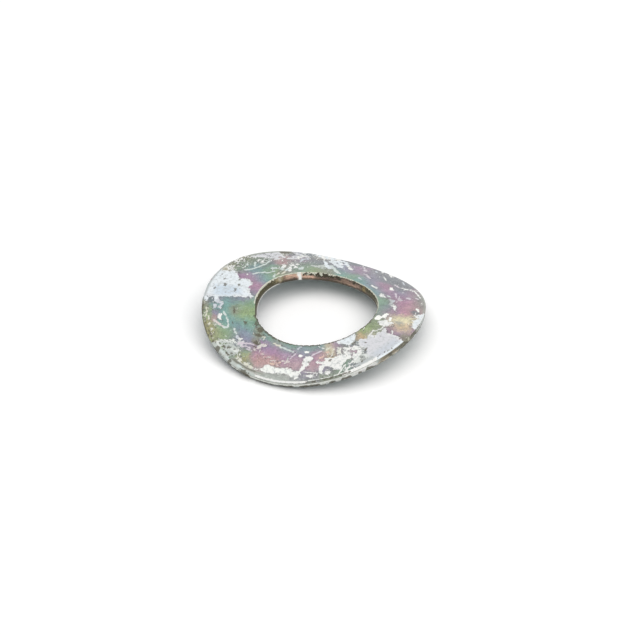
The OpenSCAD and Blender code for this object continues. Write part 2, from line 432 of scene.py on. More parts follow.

# Arcs of colour and dark arcs: colour of the first ones, first and last degrees, first and last percent.
# The pale arcs along the rim's shoulder are bare zinc with a painted highlight, and the dark arcs are
# grime with painted shade
highlightAndTintArcs = [
    ("white", 267, 296, 95, 99), ("silver", 296, 318, 93.8, 95.8), ("white", 314, 334, 94, 103),
    ("pewter", 234, 267, 93.5, 103), ("frost", 334, 352, 97, 102), ("straw", 14, 172, 0, 2.2),
    ("cream", 170, 206, 0, 2.2), ("rimGrey", 139, 157, 91.5, 96.5), ("rimGrey", 255, 271, 87.6, 91),
    ("rimShade", 249, 266, 88.5, 91.7), ("dull", 322, 333, 86, 92), ("dull", 168, 204, 95.5, 97.5),
    ("rimGrey", 20, 80, 96.5, 98.5),
]
# dark arcs of grime and painted shade along the rim's edge and the bore's near edge
grimeAndShadeArcs = [
    (203, 230, 98, 102), (295, 319, 96.2, 99), (221, 300, 0, 4.5), (300, 336, 0, 3.5), (336, 366, 0, 3),
]

# Scratches through the film: half width in mm, then the places along each
scratches = [
    (0.03, (302, 7), (306, 15)), (0.05, (312, 95), (315, 83), (317, 77)), (0.05, (316, 93), (319, 84)),
    (0.05, (320, 77), (324, 72), (329, 62)), (0.05, (350, 30), (355, 37), (359, 36)),
    (0.05, (344, 30), (350, 26)), (0.05, (354, 66), (356, 61)), (0.05, (70, 90), (74, 100)),
    (0.035, (293, 72), (300, 78)), (0.05, (47, 95), (49.5, 83)), (0.07, (111, 80), (110.5, 100)),
    (0.08, (114.5, 80), (114.5, 100)), (0.06, (118, 85), (117, 100)),
]

# Strokes rubbed through the film: colour, half width in mm, then the places along each. Ragged
# ones break up like the worn patches, and smooth ones keep a clean edge
strokes = {
    "ragged": [
        ("blush", 0.07, (35, 52), (37.5, 46)), ("dull", 0.11, (30.5, 27), (34, 31), (37, 28)),
        ("blush", 0.07, (77, 37), (82, 47)), ("blush", 0.09, (85.5, 62), (89.5, 82)),
        ("white", 0.08, (78, 90), (80, 100)), ("white", 0.17, (94.5, 50), (97, 60)),
        ("frost", 0.15, (98.5, 66), (102, 83)), ("frost", 0.2, (102, 48), (105.5, 56)),
        ("frost", 0.13, (106, 60), (109, 63)), ("ice", 0.13, (100, 15), (103.5, 22)),
        ("ice", 0.12, (104.5, 27), (107.5, 40)), ("frost", 0.14, (108.5, 28), (111, 37)),
        ("frost", 0.13, (111, 42), (113.4, 62)), ("white", 0.07, (113.5, 66), (114.8, 98)),
        ("pewter", 0.11, (113.6, 26), (114.2, 36)), ("pewter", 0.09, (117, 29), (122.5, 31)),
        ("white", 0.09, (106, 84), (105.4, 100)), ("haze", 0.1, (124, 62), (127, 60), (129.5, 46)),
        ("white", 0.08, (128, 72), (130.5, 58)), ("white", 0.08, (124, 95), (126.5, 72)),
        ("ice", 0.1, (129, 23), (133.5, 15)), ("white", 0.08, (131.8, 34), (133.8, 34)),
        ("white", 0.09, (134.8, 26), (137, 20)), ("white", 0.1, (137, 33), (140, 25), (143, 13)),
        ("white", 0.09, (143, 35), (146.5, 27)), ("ice", 0.08, (147, 25), (150.5, 14)),
        ("ice", 0.07, (151, 31), (154, 34)), ("white", 0.12, (295, 82.5), (298, 83.5)),
        ("white", 0.1, (71, 86), (75, 100)), ("white", 0.1, (320.5, 44), (321.5, 60)),
        ("white", 0.09, (322, 62), (327, 60), (330, 55)),
        ("white", 0.09, (323, 42), (329, 44), (331, 50)), ("frost", 0.13, (201.3, 77), (203.5, 73)),
        ("haze", 0.11, (204, 70), (206, 66)), ("haze", 0.09, (207.5, 75), (209.5, 74)),
        ("haze", 0.08, (206.5, 62), (209.5, 66)),
        ("cream", 0.06, (250.8, 81), (255, 82.5), (259.5, 83.5), (262.5, 84)),
        ("pewter", 0.1, (241, 87), (246, 83), (249.5, 84)), ("pewter", 0.12, (240.5, 76), (244.5, 68)),
        ("pewter", 0.1, (237.5, 85), (240.5, 80)), ("ice", 0.03, (241.5, 92.5), (244, 93)),
        ("ice", 0.02, (247, 94), (249.5, 95)), ("ice", 0.02, (255.5, 94.5), (259, 95)),
        ("petal", 0.1, (254.8, 47), (256, 36)), ("petal", 0.1, (256.4, 32), (257, 24)),
        ("blush", 0.16, (36, 70), (37, 65)),
    ],
    "smooth": [
        ("ice", 0.055, (214, 58), (221, 55), (226, 55.5)),
        ("ice", 0.075, (226, 56), (227.6, 60), (226.5, 66), (225, 69)),
        ("petal", 0.08, (225, 69), (222, 74), (219.5, 79)), ("ice", 0.05, (230.5, 49), (231.5, 50)),
        ("ice", 0.055, (233, 49.5), (235.3, 50.5)), ("haze", 0.06, (237, 51), (238.5, 53)),
        ("petal", 0.035, (258.3, 50), (259.2, 49)), ("petal", 0.035, (261.5, 47.5), (263, 47)),
        ("petal", 0.04, (266.5, 50), (268, 48)), ("peach", 0.045, (271, 61), (273.5, 60)),
        ("peach", 0.045, (274.5, 56), (276.5, 53)), ("petal", 0.03, (270, 54), (272.5, 51)),
        ("petal", 0.05, (277.5, 48), (280, 46)), ("petal", 0.045, (279.5, 52), (282, 46)),
        ("blush", 0.035, (281.5, 40), (282.5, 33)), ("blush", 0.04, (283, 30), (285, 20)),
        ("gleam", 0.085, (287.8, 30), (289, 30.5)), ("gleam", 0.09, (291.7, 19.5), (293.3, 20)),
        ("gleam", 0.2, (6, 11.5), (8.5, 12)), ("gleam", 0.15, (10.5, 22), (13.5, 24)),
        ("gleam", 0.09, (6.5, 38), (9, 36)), ("gleam", 0.12, (52.3, 44), (55, 46.5)),
        ("haze", 0.06, (79.5, 19), (82.5, 21)), ("white", 0.05, (67.5, 60), (70, 64), (73, 71)),
        ("white", 0.055, (50.5, 84), (46, 88.5), (42, 89), (37, 91)),
        ("white", 0.05, (53.5, 66), (50.5, 78)), ("blush", 0.05, (35.5, 87), (37.5, 83)),
        ("blush", 0.06, (54, 64), (59, 62)), ("white", 0.05, (14.5, 88), (15.8, 82)),
        ("gleam", 0.08, (20.5, 87), (23.5, 82)), ("frost", 0.08, (201.5, 93), (204, 91)),
        ("butter", 0.05, (209.8, 90), (213.5, 90.5)),
        ("cream", 0.05, (214.5, 92), (217, 95), (219.5, 95.5)), ("cream", 0.055, (216, 87.5), (218, 88)),
        ("cream", 0.05, (221, 88.5), (222.5, 90)), ("cream", 0.06, (228, 92), (229.3, 92.5)),
        ("butter", 0.04, (232, 93.5), (234, 92)), ("peach", 0.055, (308.5, 28), (310, 25)),
        ("butter", 0.05, (310, 18), (311.3, 15)), ("cream", 0.05, (312.5, 28), (313.7, 23)),
        ("butter", 0.045, (311, 34), (312.5, 32)), ("cream", 0.05, (308.3, 20), (309, 16)),
        ("peach", 0.055, (303, 39), (305, 37)),
        ("blush", 0.05, (243.5, 58), (245.5, 50), (248, 43), (251, 40)),
        ("blush", 0.06, (247, 57), (249, 52), (251.5, 50)), ("blush", 0.05, (250.5, 56), (254, 54)),
        ("butter", 0.05, (249, 15), (252, 13)), ("butter", 0.06, (262, 14), (267, 14.5), (270, 16)),
        ("ice", 0.05, (270, 16.5), (276, 18.5), (281.5, 21.5)), ("haze", 0.04, (284.5, 13), (286.5, 4)),
        ("blush", 0.06, (297, 30), (300, 25.5), (303.5, 21)), ("blush", 0.06, (39, 42), (45.5, 45)),
        ("ice", 0.06, (41, 30), (43, 26)), ("haze", 0.05, (33, 35), (35, 36)),
        ("haze", 0.06, (80.5, 78), (81.5, 83)), ("haze", 0.05, (57.5, 82), (61, 88)),
        ("ice", 0.06, (143.5, 19), (146, 14)), ("butter", 0.05, (147, 12), (151, 8)),
        ("butter", 0.045, (152.5, 13), (157, 8)), ("ice", 0.06, (154.5, 22), (161.5, 25)),
        ("ice", 0.065, (161.5, 29), (166, 36), (170, 40)), ("ice", 0.04, (157, 13), (161, 6)),
        ("ice", 0.065, (150.5, 58), (154, 52), (160, 50), (166, 53), (169.5, 60)),
        ("ice", 0.06, (158.5, 68), (161.5, 58)), ("ice", 0.05, (162, 75), (165, 68)),
    ],
}

# Dark crusted marks, given like the chips
crusts = [
    (135.5, 90, 0.42, 0.2), (180.5, 50, 0.1, 0.07), (182, 87, 0.12, 0.07), (184, 76, 0.14, 0.08),
    (186.5, 43, 0.13, 0.08), (189.3, 67, 0.17, 0.08, 30), (191.7, 44, 0.15, 0.08),
    (193.5, 83, 0.12, 0.07), (207, 97, 0.25, 0.05), (213, 38.5, 0.36, 0.05), (219, 95, 0.2, 0.05),
    (225, 47, 0.1, 0.04), (228, 25, 0.2, 0.13), (228, 93.5, 0.3, 0.06), (230, 94, 0.2, 0.06),
    (233.5, 7, 0.2, 0.1), (234, 92.5, 0.2, 0.06), (234, 97, 0.1, 0.04), (239.5, 98, 0.22, 0.2),
    (240.5, 85, 0.13, 0.1, 20), (241.5, 8, 0.26, 0.17), (242, 90, 0.1, 0.08), (242.3, 79, 0.14, 0.07, 30),
    (244, 99, 0.2, 0.03), (245.7, 19, 0.28, 0.13, 20), (245.8, 72, 0.14, 0.07, 30), (246, 90, 0.3, 0.06),
    (247, 83, 0.14, 0.06), (248, 10, 0.12, 0.06), (250, 98, 0.14, 0.16), (251, 34, 0.24, 0.13),
    (253, 42, 0.14, 0.06), (260.5, 99, 0.36, 0.1), (295, 46, 0.05, 0.05), (309.5, 52, 0.08, 0.08),
    (326.5, 85, 0.12, 0.06, 60), (330, 27, 0.16, 0.1), (333, 60, 0.12, 0.06, 30), (336.5, 43, 0.1, 0.06),
    (336.5, 93, 0.3, 0.045), (341.5, 96, 0.22, 0.04),
]

# Where fine bare specks come through: place, reach in mm, how thick they are
speckled = [
    (1, 45, 0.4, 1.0), (8, 27, 0.5, 0.8), (12, 90, 0.6, 1.1), (17, 83, 0.4, 0.9), (30, 92, 0.9, 0.6),
    (40, 40, 0.6, 0.7), (48, 85, 0.6, 0.8), (55, 75, 0.9, 0.75), (75, 75, 1.2, 0.6), (88, 80, 0.8, 0.8),
    (98, 75, 0.8, 0.8), (105, 70, 1.3, 1.1), (108, 25, 0.7, 0.7), (116, 85, 1.2, 1.1),
    (120, 40, 0.8, 0.5), (127, 70, 1.2, 1.1), (135, 35, 0.9, 1.0), (141, 75, 1.2, 1.2),
    (145, 25, 0.8, 0.8), (150, 85, 1.2, 1.2), (154, 66, 0.6, 1.2), (156, 93, 0.8, 1.3),
    (158, 30, 0.8, 0.6), (160, 72, 0.9, 0.8), (165, 93, 0.8, 1.3), (168, 72, 0.8, 1.0),
    (170, 30, 0.6, 0.6), (173, 85, 0.7, 1.4), (177, 70, 0.5, 1.3), (204, 75, 0.5, 0.8),
    (209, 90, 0.5, 0.8), (213, 75, 0.4, 0.7), (222, 80, 0.4, 0.8), (228, 90, 0.6, 0.6),
    (232, 50, 0.4, 0.6), (236, 6, 0.4, 0.8), (236, 85, 0.5, 0.9), (244, 75, 0.9, 1.15),
    (251, 25, 0.6, 0.8), (252, 85, 0.6, 1.0), (256, 40, 0.5, 0.8), (264, 58, 0.7, 0.6),
    (274, 54, 0.5, 0.9), (281, 45, 0.4, 0.8), (300, 90, 0.6, 0.8), (305, 80, 0.6, 1.0),
    (309, 35, 0.5, 0.8), (316, 85, 0.5, 1.2), (320, 40, 0.5, 1.1), (326, 70, 0.8, 1.15),
    (331, 35, 0.5, 0.9), (333, 80, 0.5, 1.1), (346, 33, 0.5, 0.7), (354, 60, 0.4, 0.9),
]

# How the cut edges change round the ring. A coat has degrees, and a colour for the upper and the
# lower half of the edge
rimCoat = [
    (0, "rimOlive", "rimTan"), (12, "rimBlue", "rimTan"), (40, "rimGrey", "rimGrey"),
    (228, "rimGrey", "rimGrey"), (236, "rimBlue", "rimGrey"), (248, "rimBlue", "rimBlue"),
    (251.5, "rimPale", "rimGrey"), (257, "rimPale", "rimDark"), (263, "rimBrown", "rimBrown"),
    (264, "rimPale", "rimPale"), (285, "rimPale", "rimBlue"), (319, "rimPale", "rimPale"),
    (321, "white", "rimPale"), (332, "white", "rimPale"), (333.5, "rimBlue", "rimTan"),
    (337, "rimBrown", "rimTan"), (342, "rimDark", "rimTan"), (344, "rimBrown", "rimTan"),
    (347, "rimDark", "rimTan"), (351, "rimOlive", "rimOlive"), (355.6, "rimOlive", "rimOlive"),
    (356.4, "lip", "lip"), (357.4, "rimOlive", "rimTan"),
]
boreCoat = [
    (20, "boreGrey", "boreGrey"), (36, "boreGrey", "boreDark"), (44, "boreOlive", "boreDark"),
    (58, "boreOlive", "boreOlive"), (64, "boreOlive", "copperShade"), (68, "boreGold", "boreGold"),
    (71, "boreOlive", "boreDark"), (74, "copper", "copper"), (82, "copper", "rosyCopper"),
    (93, "copper", "copper"), (97, "copperShade", "copper"), (108, "copperShade", "copperShade"),
    (120, "copperShade", "copper"), (124, "rosyCopper", "rosyCopper"), (132.8, "rosyCopper", "copper"),
    (134.2, "gleam", "gleam"), (136.6, "gleam", "gleam"), (137.6, "rosyCopper", "copperShade"),
    (147, "rosyCopper", "copperShade"), (151, "copper", "copperShade"), (153, "boreFleck", "boreOlive"),
    (156, "rimTan", "boreFleck"), (159, "boreFleck", "boreOlive"), (162, "boreOlive", "boreOlive"),
    (180, "boreOlive", "boreOlive"), (196, "boreOlive", "boreDark"), (222, "boreDark", "boreDark"),
]
coatWander = (0.9, 240)  # degrees that a coat's stops move, and lumps to the turn

# Degrees and amounts. For the rim: soot over its whole height, dirt that creeps up its foot, and the dark
# line under its shoulder. For the bore: the dark torn band (a low one leaves the wall bright), the height
# and the raggedness of the pale lip over it, and a heel of painted highlight at its foot
edgeDirtAndHighlights = {
    "soot": [
        (0, 0.7), (10, 0.4), (40, 0.4), (180, 0.4), (228, 0.6), (237, 0.6), (238, 1.4), (241, 1.4),
        (242, 0.3), (248.5, 0.3), (249.3, 1.4), (251, 1.4), (252, 0.4), (257.5, 0.5), (258.5, 1.3),
        (262.5, 1.3), (264, 0.2), (290, 0.15), (330, 0.2), (334, 0.4), (338, 0.4), (343, 0.45),
        (344, 0.3), (348, 0.3), (350, 0.6), (355.4, 0.7), (356.4, 0.1), (357.4, 0.6), (358, 0.6),
    ],
    "feet": [
        (0, 0.5), (20, 0.4), (180, 0.4), (252, 1.2), (258, 1.2), (264, 0.3), (270, 1), (284, 1),
        (287.5, 1.4), (288.5, -0.5), (290.5, -0.5), (291.5, 1.3), (301, 1.5), (303, 0.2), (306, -0.4),
        (307, 1.4), (309.5, 1.3), (310.5, -0.5), (312.5, -0.5), (313.5, 1.4), (318, 1.2), (319, -0.5),
        (321.5, -0.5), (322.5, 1.3), (324, 1.2), (324.8, -0.5), (326, -0.4), (327, 1.7), (330, 1.2),
        (332, 0.2), (333, -0.3), (347, -0.3), (350, 0.5),
    ],
    "shoulder": [(180, 0.2), (262, 0.2), (284, 0.1), (296, 0.3), (320, 0.3), (322, 0)],
    "torn": [
        (20, 0.3), (60, 0.5), (74, 0.5), (77, 0.9), (82, 0.8), (86, 0.5), (94, 0.5), (97, 1.3),
        (102, 0.7), (105, 1.4), (118, 1.4), (122, 1.1), (132, 1.1), (133.6, -1.5), (137, -1.5),
        (138, 0.3), (150, 0.1), (160, 0.3), (200, 0.5),
    ],
    "lip": [
        (8, -0.1), (14, 0.05), (30, 0.12), (60, 0.1), (112, 0.1), (118, 0.22), (132, 0.22), (134, -0.1),
        (137.4, -0.1), (138, 0.12), (152, 0.12), (164, 0.14), (185, 0.2), (193, 0.18), (198, -0.1),
        (208, -0.3), (350, -0.3),
    ],
    "spiky": [(14, 0.3), (94, 0.4), (112, 0.8), (117, 2.2), (132, 2.2), (134, 0.3), (160, 0.3)],
    # heel: a painted highlight along the bore wall's foot
    "heelHighlight": [(154, 0), (160, 1), (216, 1), (222, 0)],
}


# 1 at a place on the ring, and exp(-(distance / reach)^2) round it
def spotAt(x, y, degrees, percent, reach):
    sx, sy = place(degrees, percent)
    return np.exp(-((x - sx) ** 2 + (y - sy) ** 2) / reach**2)


# Tint of the film, mixed with the faded one: faded + (tint - faded) * strong
def fadedTint(tint, strong):
    faded = np.array(film["faded"])
    return faded + (np.array(film["tints"][tint]) - faded) * strong


# Colour of the film: the mean of the spots' tints, where a spot counts by exp(-(distance /
# reach)^2) and by how small its reach is
def filmField(x, y):
    total, weights = 0, 1e-12

    def add(degrees, percent, tint, strong=1, reach=film["reach"]):
        nonlocal total, weights
        weight = spotAt(x, y, degrees, percent, reach) * (film["reach"] / reach) ** 2
        total = total + weight[..., None] * fadedTint(tint, strong)
        weights = weights + weight

    for spot in film["spots"]:
        add(*spot)
    return total / weights[..., None]


# Distance from every point to the stretch from a to b, and the signed distance off its line
def stretchDistance(x, y, a, b):
    dx, dy = b[0] - a[0], b[1] - a[1]
    length = math.hypot(dx, dy)
    along = np.clip(((x - a[0]) * dx + (y - a[1]) * dy) / length**2, 0, 1)
    off = ((x - a[0]) * dy - (y - a[1]) * dx) / length
    return np.hypot(x - a[0] - along * dx, y - a[1] - along * dy), off


# Both ends of every stretch of a path through some places
def stretches(path):
    corners = [place(*corner) for corner in path]
    return list(zip(corners[:-1], corners[1:]))


# How far inside an outline every point is, in mm, and less than 0 outside: the distance to the
# nearest side, with its sign from how often a line to the point crosses the outline
def insideBy(x, y, outline):
    nearest, within = np.full(x.shape, 9.0), np.zeros(x.shape, dtype=bool)
    for a, b in stretches(outline + outline[:1]):
        nearest = np.minimum(nearest, stretchDistance(x, y, a, b)[0])
        across = (b[0] - a[0]) * (y - a[1]) / (b[1] - a[1] + 1e-9) + a[0]
        within ^= ((a[1] > y) != (b[1] > y)) & (x < across)
    return np.where(within, nearest, -nearest)


# The same for an oval with its length round the ring
def insideOval(x, y, degrees, percent, long, wide, lean=0):
    cx, cy = place(degrees, percent)
    facing = math.radians(degrees + 90 + lean)
    u = (x - cx) * math.cos(facing) + (y - cy) * math.sin(facing)
    v = (y - cy) * math.cos(facing) - (x - cx) * math.sin(facing)
    return (1 - np.hypot(u / long, v / wide)) * min(long, wide)


# The same for an arc that lies along the rim
def insideArc(x, y, first, last, low, high):
    outline = [(d, low) for d in np.linspace(first, last, 12)]
    outline += [(d, high) for d in np.linspace(last, first, 12)]
    return insideBy(x, y, outline)


# Colours with a tone laid over them: not at all where the value is low, wholly where it is high
def laidOver(colours, tone, value, low, high):
    share = np.clip((value - low) / (high - low), 0, 1)[..., None]
    return colours + (finish[tone] - colours) * share


# Fields that the upper face's finish follows, in mm where they are distances
def paintUpper(x, y):
    warpX = x + film["warp"] * cloudNoise(x, y, film["warpSize"], 401)
    warpY = y + film["warp"] * cloudNoise(x, y, film["warpSize"], 402)
    worn, highlightAndStroke, grimeAndShade, crust = (np.full(x.shape, -0.5) for _ in range(4))
    bare = np.zeros(x.shape + (3,)) + finish["white"]
    for bareness, tone, *outline in wornPatches:
        inside = insideBy(x, y, outline)
        bare = laidOver(bare, tone, inside, -0.2, 0.2)
        worn = np.maximum(worn, np.minimum(inside, bareness))
    # arcs of colour; those along the rim's shoulder are bare zinc with a painted highlight
    for tone, *arc in highlightAndTintArcs:
        inside = insideArc(x, y, *arc)
        bare = laidOver(bare, tone, inside, -0.07, 0)
        highlightAndStroke = np.maximum(highlightAndStroke, 2.5 * inside)  # steep, so that noise hardly moves its edge
    # dark arcs: grime, with painted shade along the bore's near edge
    for arc in grimeAndShadeArcs:
        grimeAndShade = np.maximum(grimeAndShade, insideArc(x, y, *arc))
    for chip in chips:
        worn = np.maximum(worn, insideOval(x, y, *chip))
    for edge, reached in (("ragged", worn), ("smooth", highlightAndStroke)):
        for tone, wide, *path in strokes[edge]:
            for a, b in stretches(path):
                inside = wide - stretchDistance(x, y, a, b)[0]
                bare = laidOver(bare, tone, inside, -0.12, -0.02)
                np.maximum(reached, inside, out=reached)
    for mark in crusts:
        crust = np.maximum(crust, insideOval(x, y, *mark))
    specks = np.zeros(x.shape)
    for *spot, thick in speckled:
        specks = np.maximum(specks, thick * spotAt(x, y, *spot))
    nearest, off = np.full(x.shape, 9.0), np.full(x.shape, 9.0)
    for wide, *path in scratches:
        for a, b in stretches(path):
            distance, aside = stretchDistance(x, y, a, b)
            off = np.where(distance / wide < nearest, aside / wide, off)
            nearest = np.minimum(nearest, distance / wide)
    stirX, stirY = film["stir"]
    return {"film": filmField(warpX, warpY), "stirred": filmField(warpX + stirX, warpY + stirY),
            "bare": bare, "worn": worn, "highlightAndStroke": highlightAndStroke, "grimeAndShade": grimeAndShade, "crust": crust,
            "specks": specks, "scratchOff": off, "scratchNear": nearest}


underFace = {
    "tints": ["mauve", "slate", "green", "moss", "steel"],
    "strong": 0.5,
    "cloudSize": 3.0,  # mm, like the other sizes
    "drift": 0.3,  # between the two layers that are stirred together
    "wearSize": 1.3,
    "wearDepth": 0.16,
    "feet": 0.5,  # how far in from the rim the feet are bare
    # the painted shade round the bore: the size of its clouds, its reach and its depth in mm
    "shadeSize": 1.4,
    "shadeReach": 0.2,  # how far the painted shade reaches round the bore
    "shadeDepth": 0.45,
}


# Colour between two neighbours of a list of tints: clouds say how far along the list it lies
def cloudedTints(x, y, tints):
    middle, last = (len(tints) - 1) / 2, len(tints) - 1.001
    along = np.clip(middle + 3 * cloudNoise(x, y, underFace["cloudSize"], 501), 0, last)
    low = along.astype(int)
    share = (along - low)[..., None]
    return tints[low] * (1 - share) + tints[low + 1] * share


# Fields for the under face: broad clouds of tint and wear, bare feet where the arch stands, and painted
# shade round the bore
def paintUnder(x, y):
    s = underFace
    feet = s["feet"] - (sheet["rimRadius"] - np.abs(y))
    wear = s["wearDepth"] * cloudNoise(x, y, s["wearSize"], 511) - 0.05
    tints = np.array([fadedTint(tint, s["strong"]) for tint in s["tints"]])
    # painted shade in a ring round the bore
    grimeAndShade = sheet["boreRadius"] - np.hypot(x - sheet["boreX"], y - sheet["boreY"])
    grimeAndShade = grimeAndShade + s["shadeReach"] + s["shadeDepth"] * cloudNoise(x, y, s["shadeSize"], 551)
    return {"film": cloudedTints(x, y, tints), "stirred": cloudedTints(x + s["drift"], y, tints),
            "bare": np.zeros(x.shape + (3,)) + finish["silver"],
            "worn": np.maximum(wear, np.clip(feet, -0.5, 0.3)), "highlightAndStroke": -0.5 + 0 * x,
            "grimeAndShade": grimeAndShade, "crust": 0.12 * cloudNoise(x, y, 0.9, 531) - 0.09,
            "specks": 0.6 + 0.4 * cloudNoise(x, y, 1.5, 541),
            "scratchOff": 9 + 0 * x, "scratchNear": 9 + 0 * x}


# Colours of a coat at some degrees, blended from stop to stop: 1 for its upper half, 2 for its
# lower one
def coatColours(degrees, stops, half):
    at = [stop[0] for stop in stops]
    tones = np.array([finish[stop[half]] for stop in stops])
    channels = [np.interp(degrees, at, channel, period=360) for channel in tones.T]
    return np.stack(channels, axis=-1)


# Every field of the washer, by name: both faces, the dirt, the painted highlight and the coats of the cut
# edges, and the level from the under face (0) to the upper face (1)
def paintWasher():
    upper, under = paintUpper(flatX, flatY), paintUnder(flatX, flatY)
    fields = {"level": (height + top) / (2 * top)}
    for name in upper:
        below = side < 0 if upper[name].ndim == 2 else (side < 0)[..., None]
        fields[name] = np.where(below, under[name], upper[name])
    for name, stops in edgeDirtAndHighlights.items():
        fields[name] = roundTheRing(turn, stops)[:, None] + 0 * flatX
    far, cells = coatWander
    moved = far * ringLattice(turn[:, None], cells, fields["level"] * 2.5, 601)
    degrees = np.degrees(turn)[:, None] + moved
    for name, half in (("coatHigh", 1), ("coatLow", 2)):
        rim, wall = (coatColours(degrees, stops, half) for stops in (rimCoat, boreCoat))
        fields[name] = np.where((kind == 1)[..., None], rim, wall)
    return fields


# Puts a field on the washer's points, as a colour if it has three channels
def addField(name, values):
    if values.ndim > 2:
        layer = washer.data.attributes.new(name, "FLOAT_COLOR", "POINT")
        values = np.concatenate([values, np.ones_like(values[..., :1])], axis=-1)
        layer.data.foreach_set("color", values.reshape(-1).astype(np.float32))
    else:
        layer = washer.data.attributes.new(name, "FLOAT", "POINT")
        layer.data.foreach_set("value", values.reshape(-1).astype(np.float32))


for name, values in paintWasher().items():
    addField(name, values)
print("painted", len(film["spots"]), "tints and", len(wornPatches), "worn patches")


# Adds a shader node, sets its settings, and feeds its inputs from values or sockets
def addNode(tree, kind, feeds=None, **settings):
    new = tree.nodes.new("ShaderNode" + kind)
    for key, value in settings.items():
        setattr(new, key, value)
    for key, value in (feeds or {}).items():
        if isinstance(value, bpy.types.NodeSocket):
            tree.links.new(value, new.inputs[key])
        else:
            new.inputs[key].default_value = value
    return new.outputs


# One step of maths on numbers or sockets
def maths(tree, operation, *values, clamp=False):
    return addNode(tree, "Math", dict(enumerate(values)), operation=operation, use_clamp=clamp)[0]


# value * by + plus
def scaled(tree, value, by, plus=0.0):
    return maths(tree, "MULTIPLY_ADD", value, by, plus)


# The greatest of some masks
def greatest(tree, mask, *others):
    for other in others:
        mask = maths(tree, "MAXIMUM", mask, other)
    return mask


# Smooth rise from 0 to 1 while the value goes from low to high
def smoothRise(tree, value, low, high):
    feeds = {"Value": value, "From Min": low, "From Max": high}
    return addNode(tree, "MapRange", feeds, interpolation_type="SMOOTHSTEP")[0]


# One of the fields that were put on the washer
def field(tree, name, part="Fac"):
    return addNode(tree, "Attribute", attribute_name=name)[part]


# Colours as sockets take them, with a fourth part of 1
def colour(rgb):
    return (*rgb, 1)


# The same, with one value for red, green and blue
def grey(value):
    return colour((value, value, value))


# a where the mask is 0 and b where it is 1
def blend(tree, mask, a, b, how="MIX"):
    return addNode(tree, "Mix", {0: mask, 6: a, 7: b}, data_type="RGBA", blend_type=how)[2]


# Base with a tone of the finish laid over it where the mask is 1, as strongly as `strong`
def cover(tree, base, mask, tone, strong=1.0):
    return blend(tree, scaled(tree, mask, strong), base, colour(finish[tone]))


# A shader node group with named inputs and their first values, and outputs and their kinds
def newGroup(name, inputs, outputs):
    tree = bpy.data.node_groups.new(name, "ShaderNodeTree")
    for label, value in inputs.items():
        socket = tree.interface.new_socket(label, in_out="INPUT", socket_type="NodeSocketFloat")
        socket.default_value = value
    for label, kind in outputs.items():
        tree.interface.new_socket(label, in_out="OUTPUT", socket_type="NodeSocket" + kind)
    return tree, tree.nodes.new("NodeGroupInput").outputs, tree.nodes.new("NodeGroupOutput").inputs


# The outputs of a group that is placed in a tree, with its inputs fed by name
def useGroup(tree, group, **feeds):
    return addNode(tree, "Group", feeds, node_tree=group)


# Noise on Object coordinates, round 0.5, with lumps of `size` mm. Each `shift` gives another part
# of the noise
def lumps(tree, size, detail=2.0, shift=0.0):
    here = addNode(tree, "TexCoord")["Object"]
    moved = addNode(tree, "VectorMath", {0: here, 1: (shift, shift, shift)}, operation="ADD")[0]
    feeds = {"Vector": moved, "Scale": maths(tree, "DIVIDE", 1 / mm, size), "Detail": detail,
             "Roughness": 0.6}
    return addNode(tree, "TexNoise", feeds)[0]


# The same noise round 0
def ripples(tree, size, detail, shift=0.0):
    return maths(tree, "SUBTRACT", lumps(tree, size, detail, shift), 0.5)


# Film colour: two layers of tint stirred together by clouds, darkened and lightened in broad and
# fine mottles, with pale flecks
def makeFilmTint():
    tree, given, out = newGroup("filmTint", {"Mottle": 1.0, "Size": 0.22}, {"Color": "Color"})
    cloud = smoothRise(tree, lumps(tree, given["Size"], 3), 0.42, 0.6)
    tint = blend(tree, cloud, field(tree, "film", "Color"), field(tree, "stirred", "Color"))
    broad = scaled(tree, ripples(tree, 0.5, 2, 0.21), 0.6, 0.96)
    shade = scaled(tree, ripples(tree, 0.1, 3, 0.07), given["Mottle"], broad)
    tint = blend(tree, 1.0, tint, shade, "MULTIPLY")
    pale = smoothRise(tree, lumps(tree, 0.12, 2, 0.13), 0.6, 0.72)
    tree.links.new(cover(tree, tint, pale, "paleFilm", 0.35), out["Color"])
    return tree


# Streaks: noise squeezed to lines `Width` by `Length` mm that run at `Turn` from the x axis
def makeStreaks():
    inputs = {"Width": 0.12, "Length": 1.2, "Turn": 1.83}
    tree, given, out = newGroup("streaks", inputs, {"Value": "Float"})
    here = addNode(tree, "TexCoord")["Object"]
    spin = addNode(tree, "CombineXYZ", {2: scaled(tree, given["Turn"], -1.0)})[0]
    feeds = {"Vector": here, "Rotation": spin}
    turned = addNode(tree, "VectorRotate", feeds, rotation_type="EULER_XYZ")[0]
    long, wide = (maths(tree, "DIVIDE", 1 / mm, given[k]) for k in ("Length", "Width"))
    squeeze = addNode(tree, "CombineXYZ", {0: long, 1: wide, 2: wide})[0]
    stretched = addNode(tree, "VectorMath", {0: turned, 1: squeeze}, operation="MULTIPLY")[0]
    feeds = {"Vector": stretched, "Scale": 1.0, "Detail": 2.0, "Roughness": 0.6}
    tree.links.new(addNode(tree, "TexNoise", feeds)[0], out["Value"])
    return tree


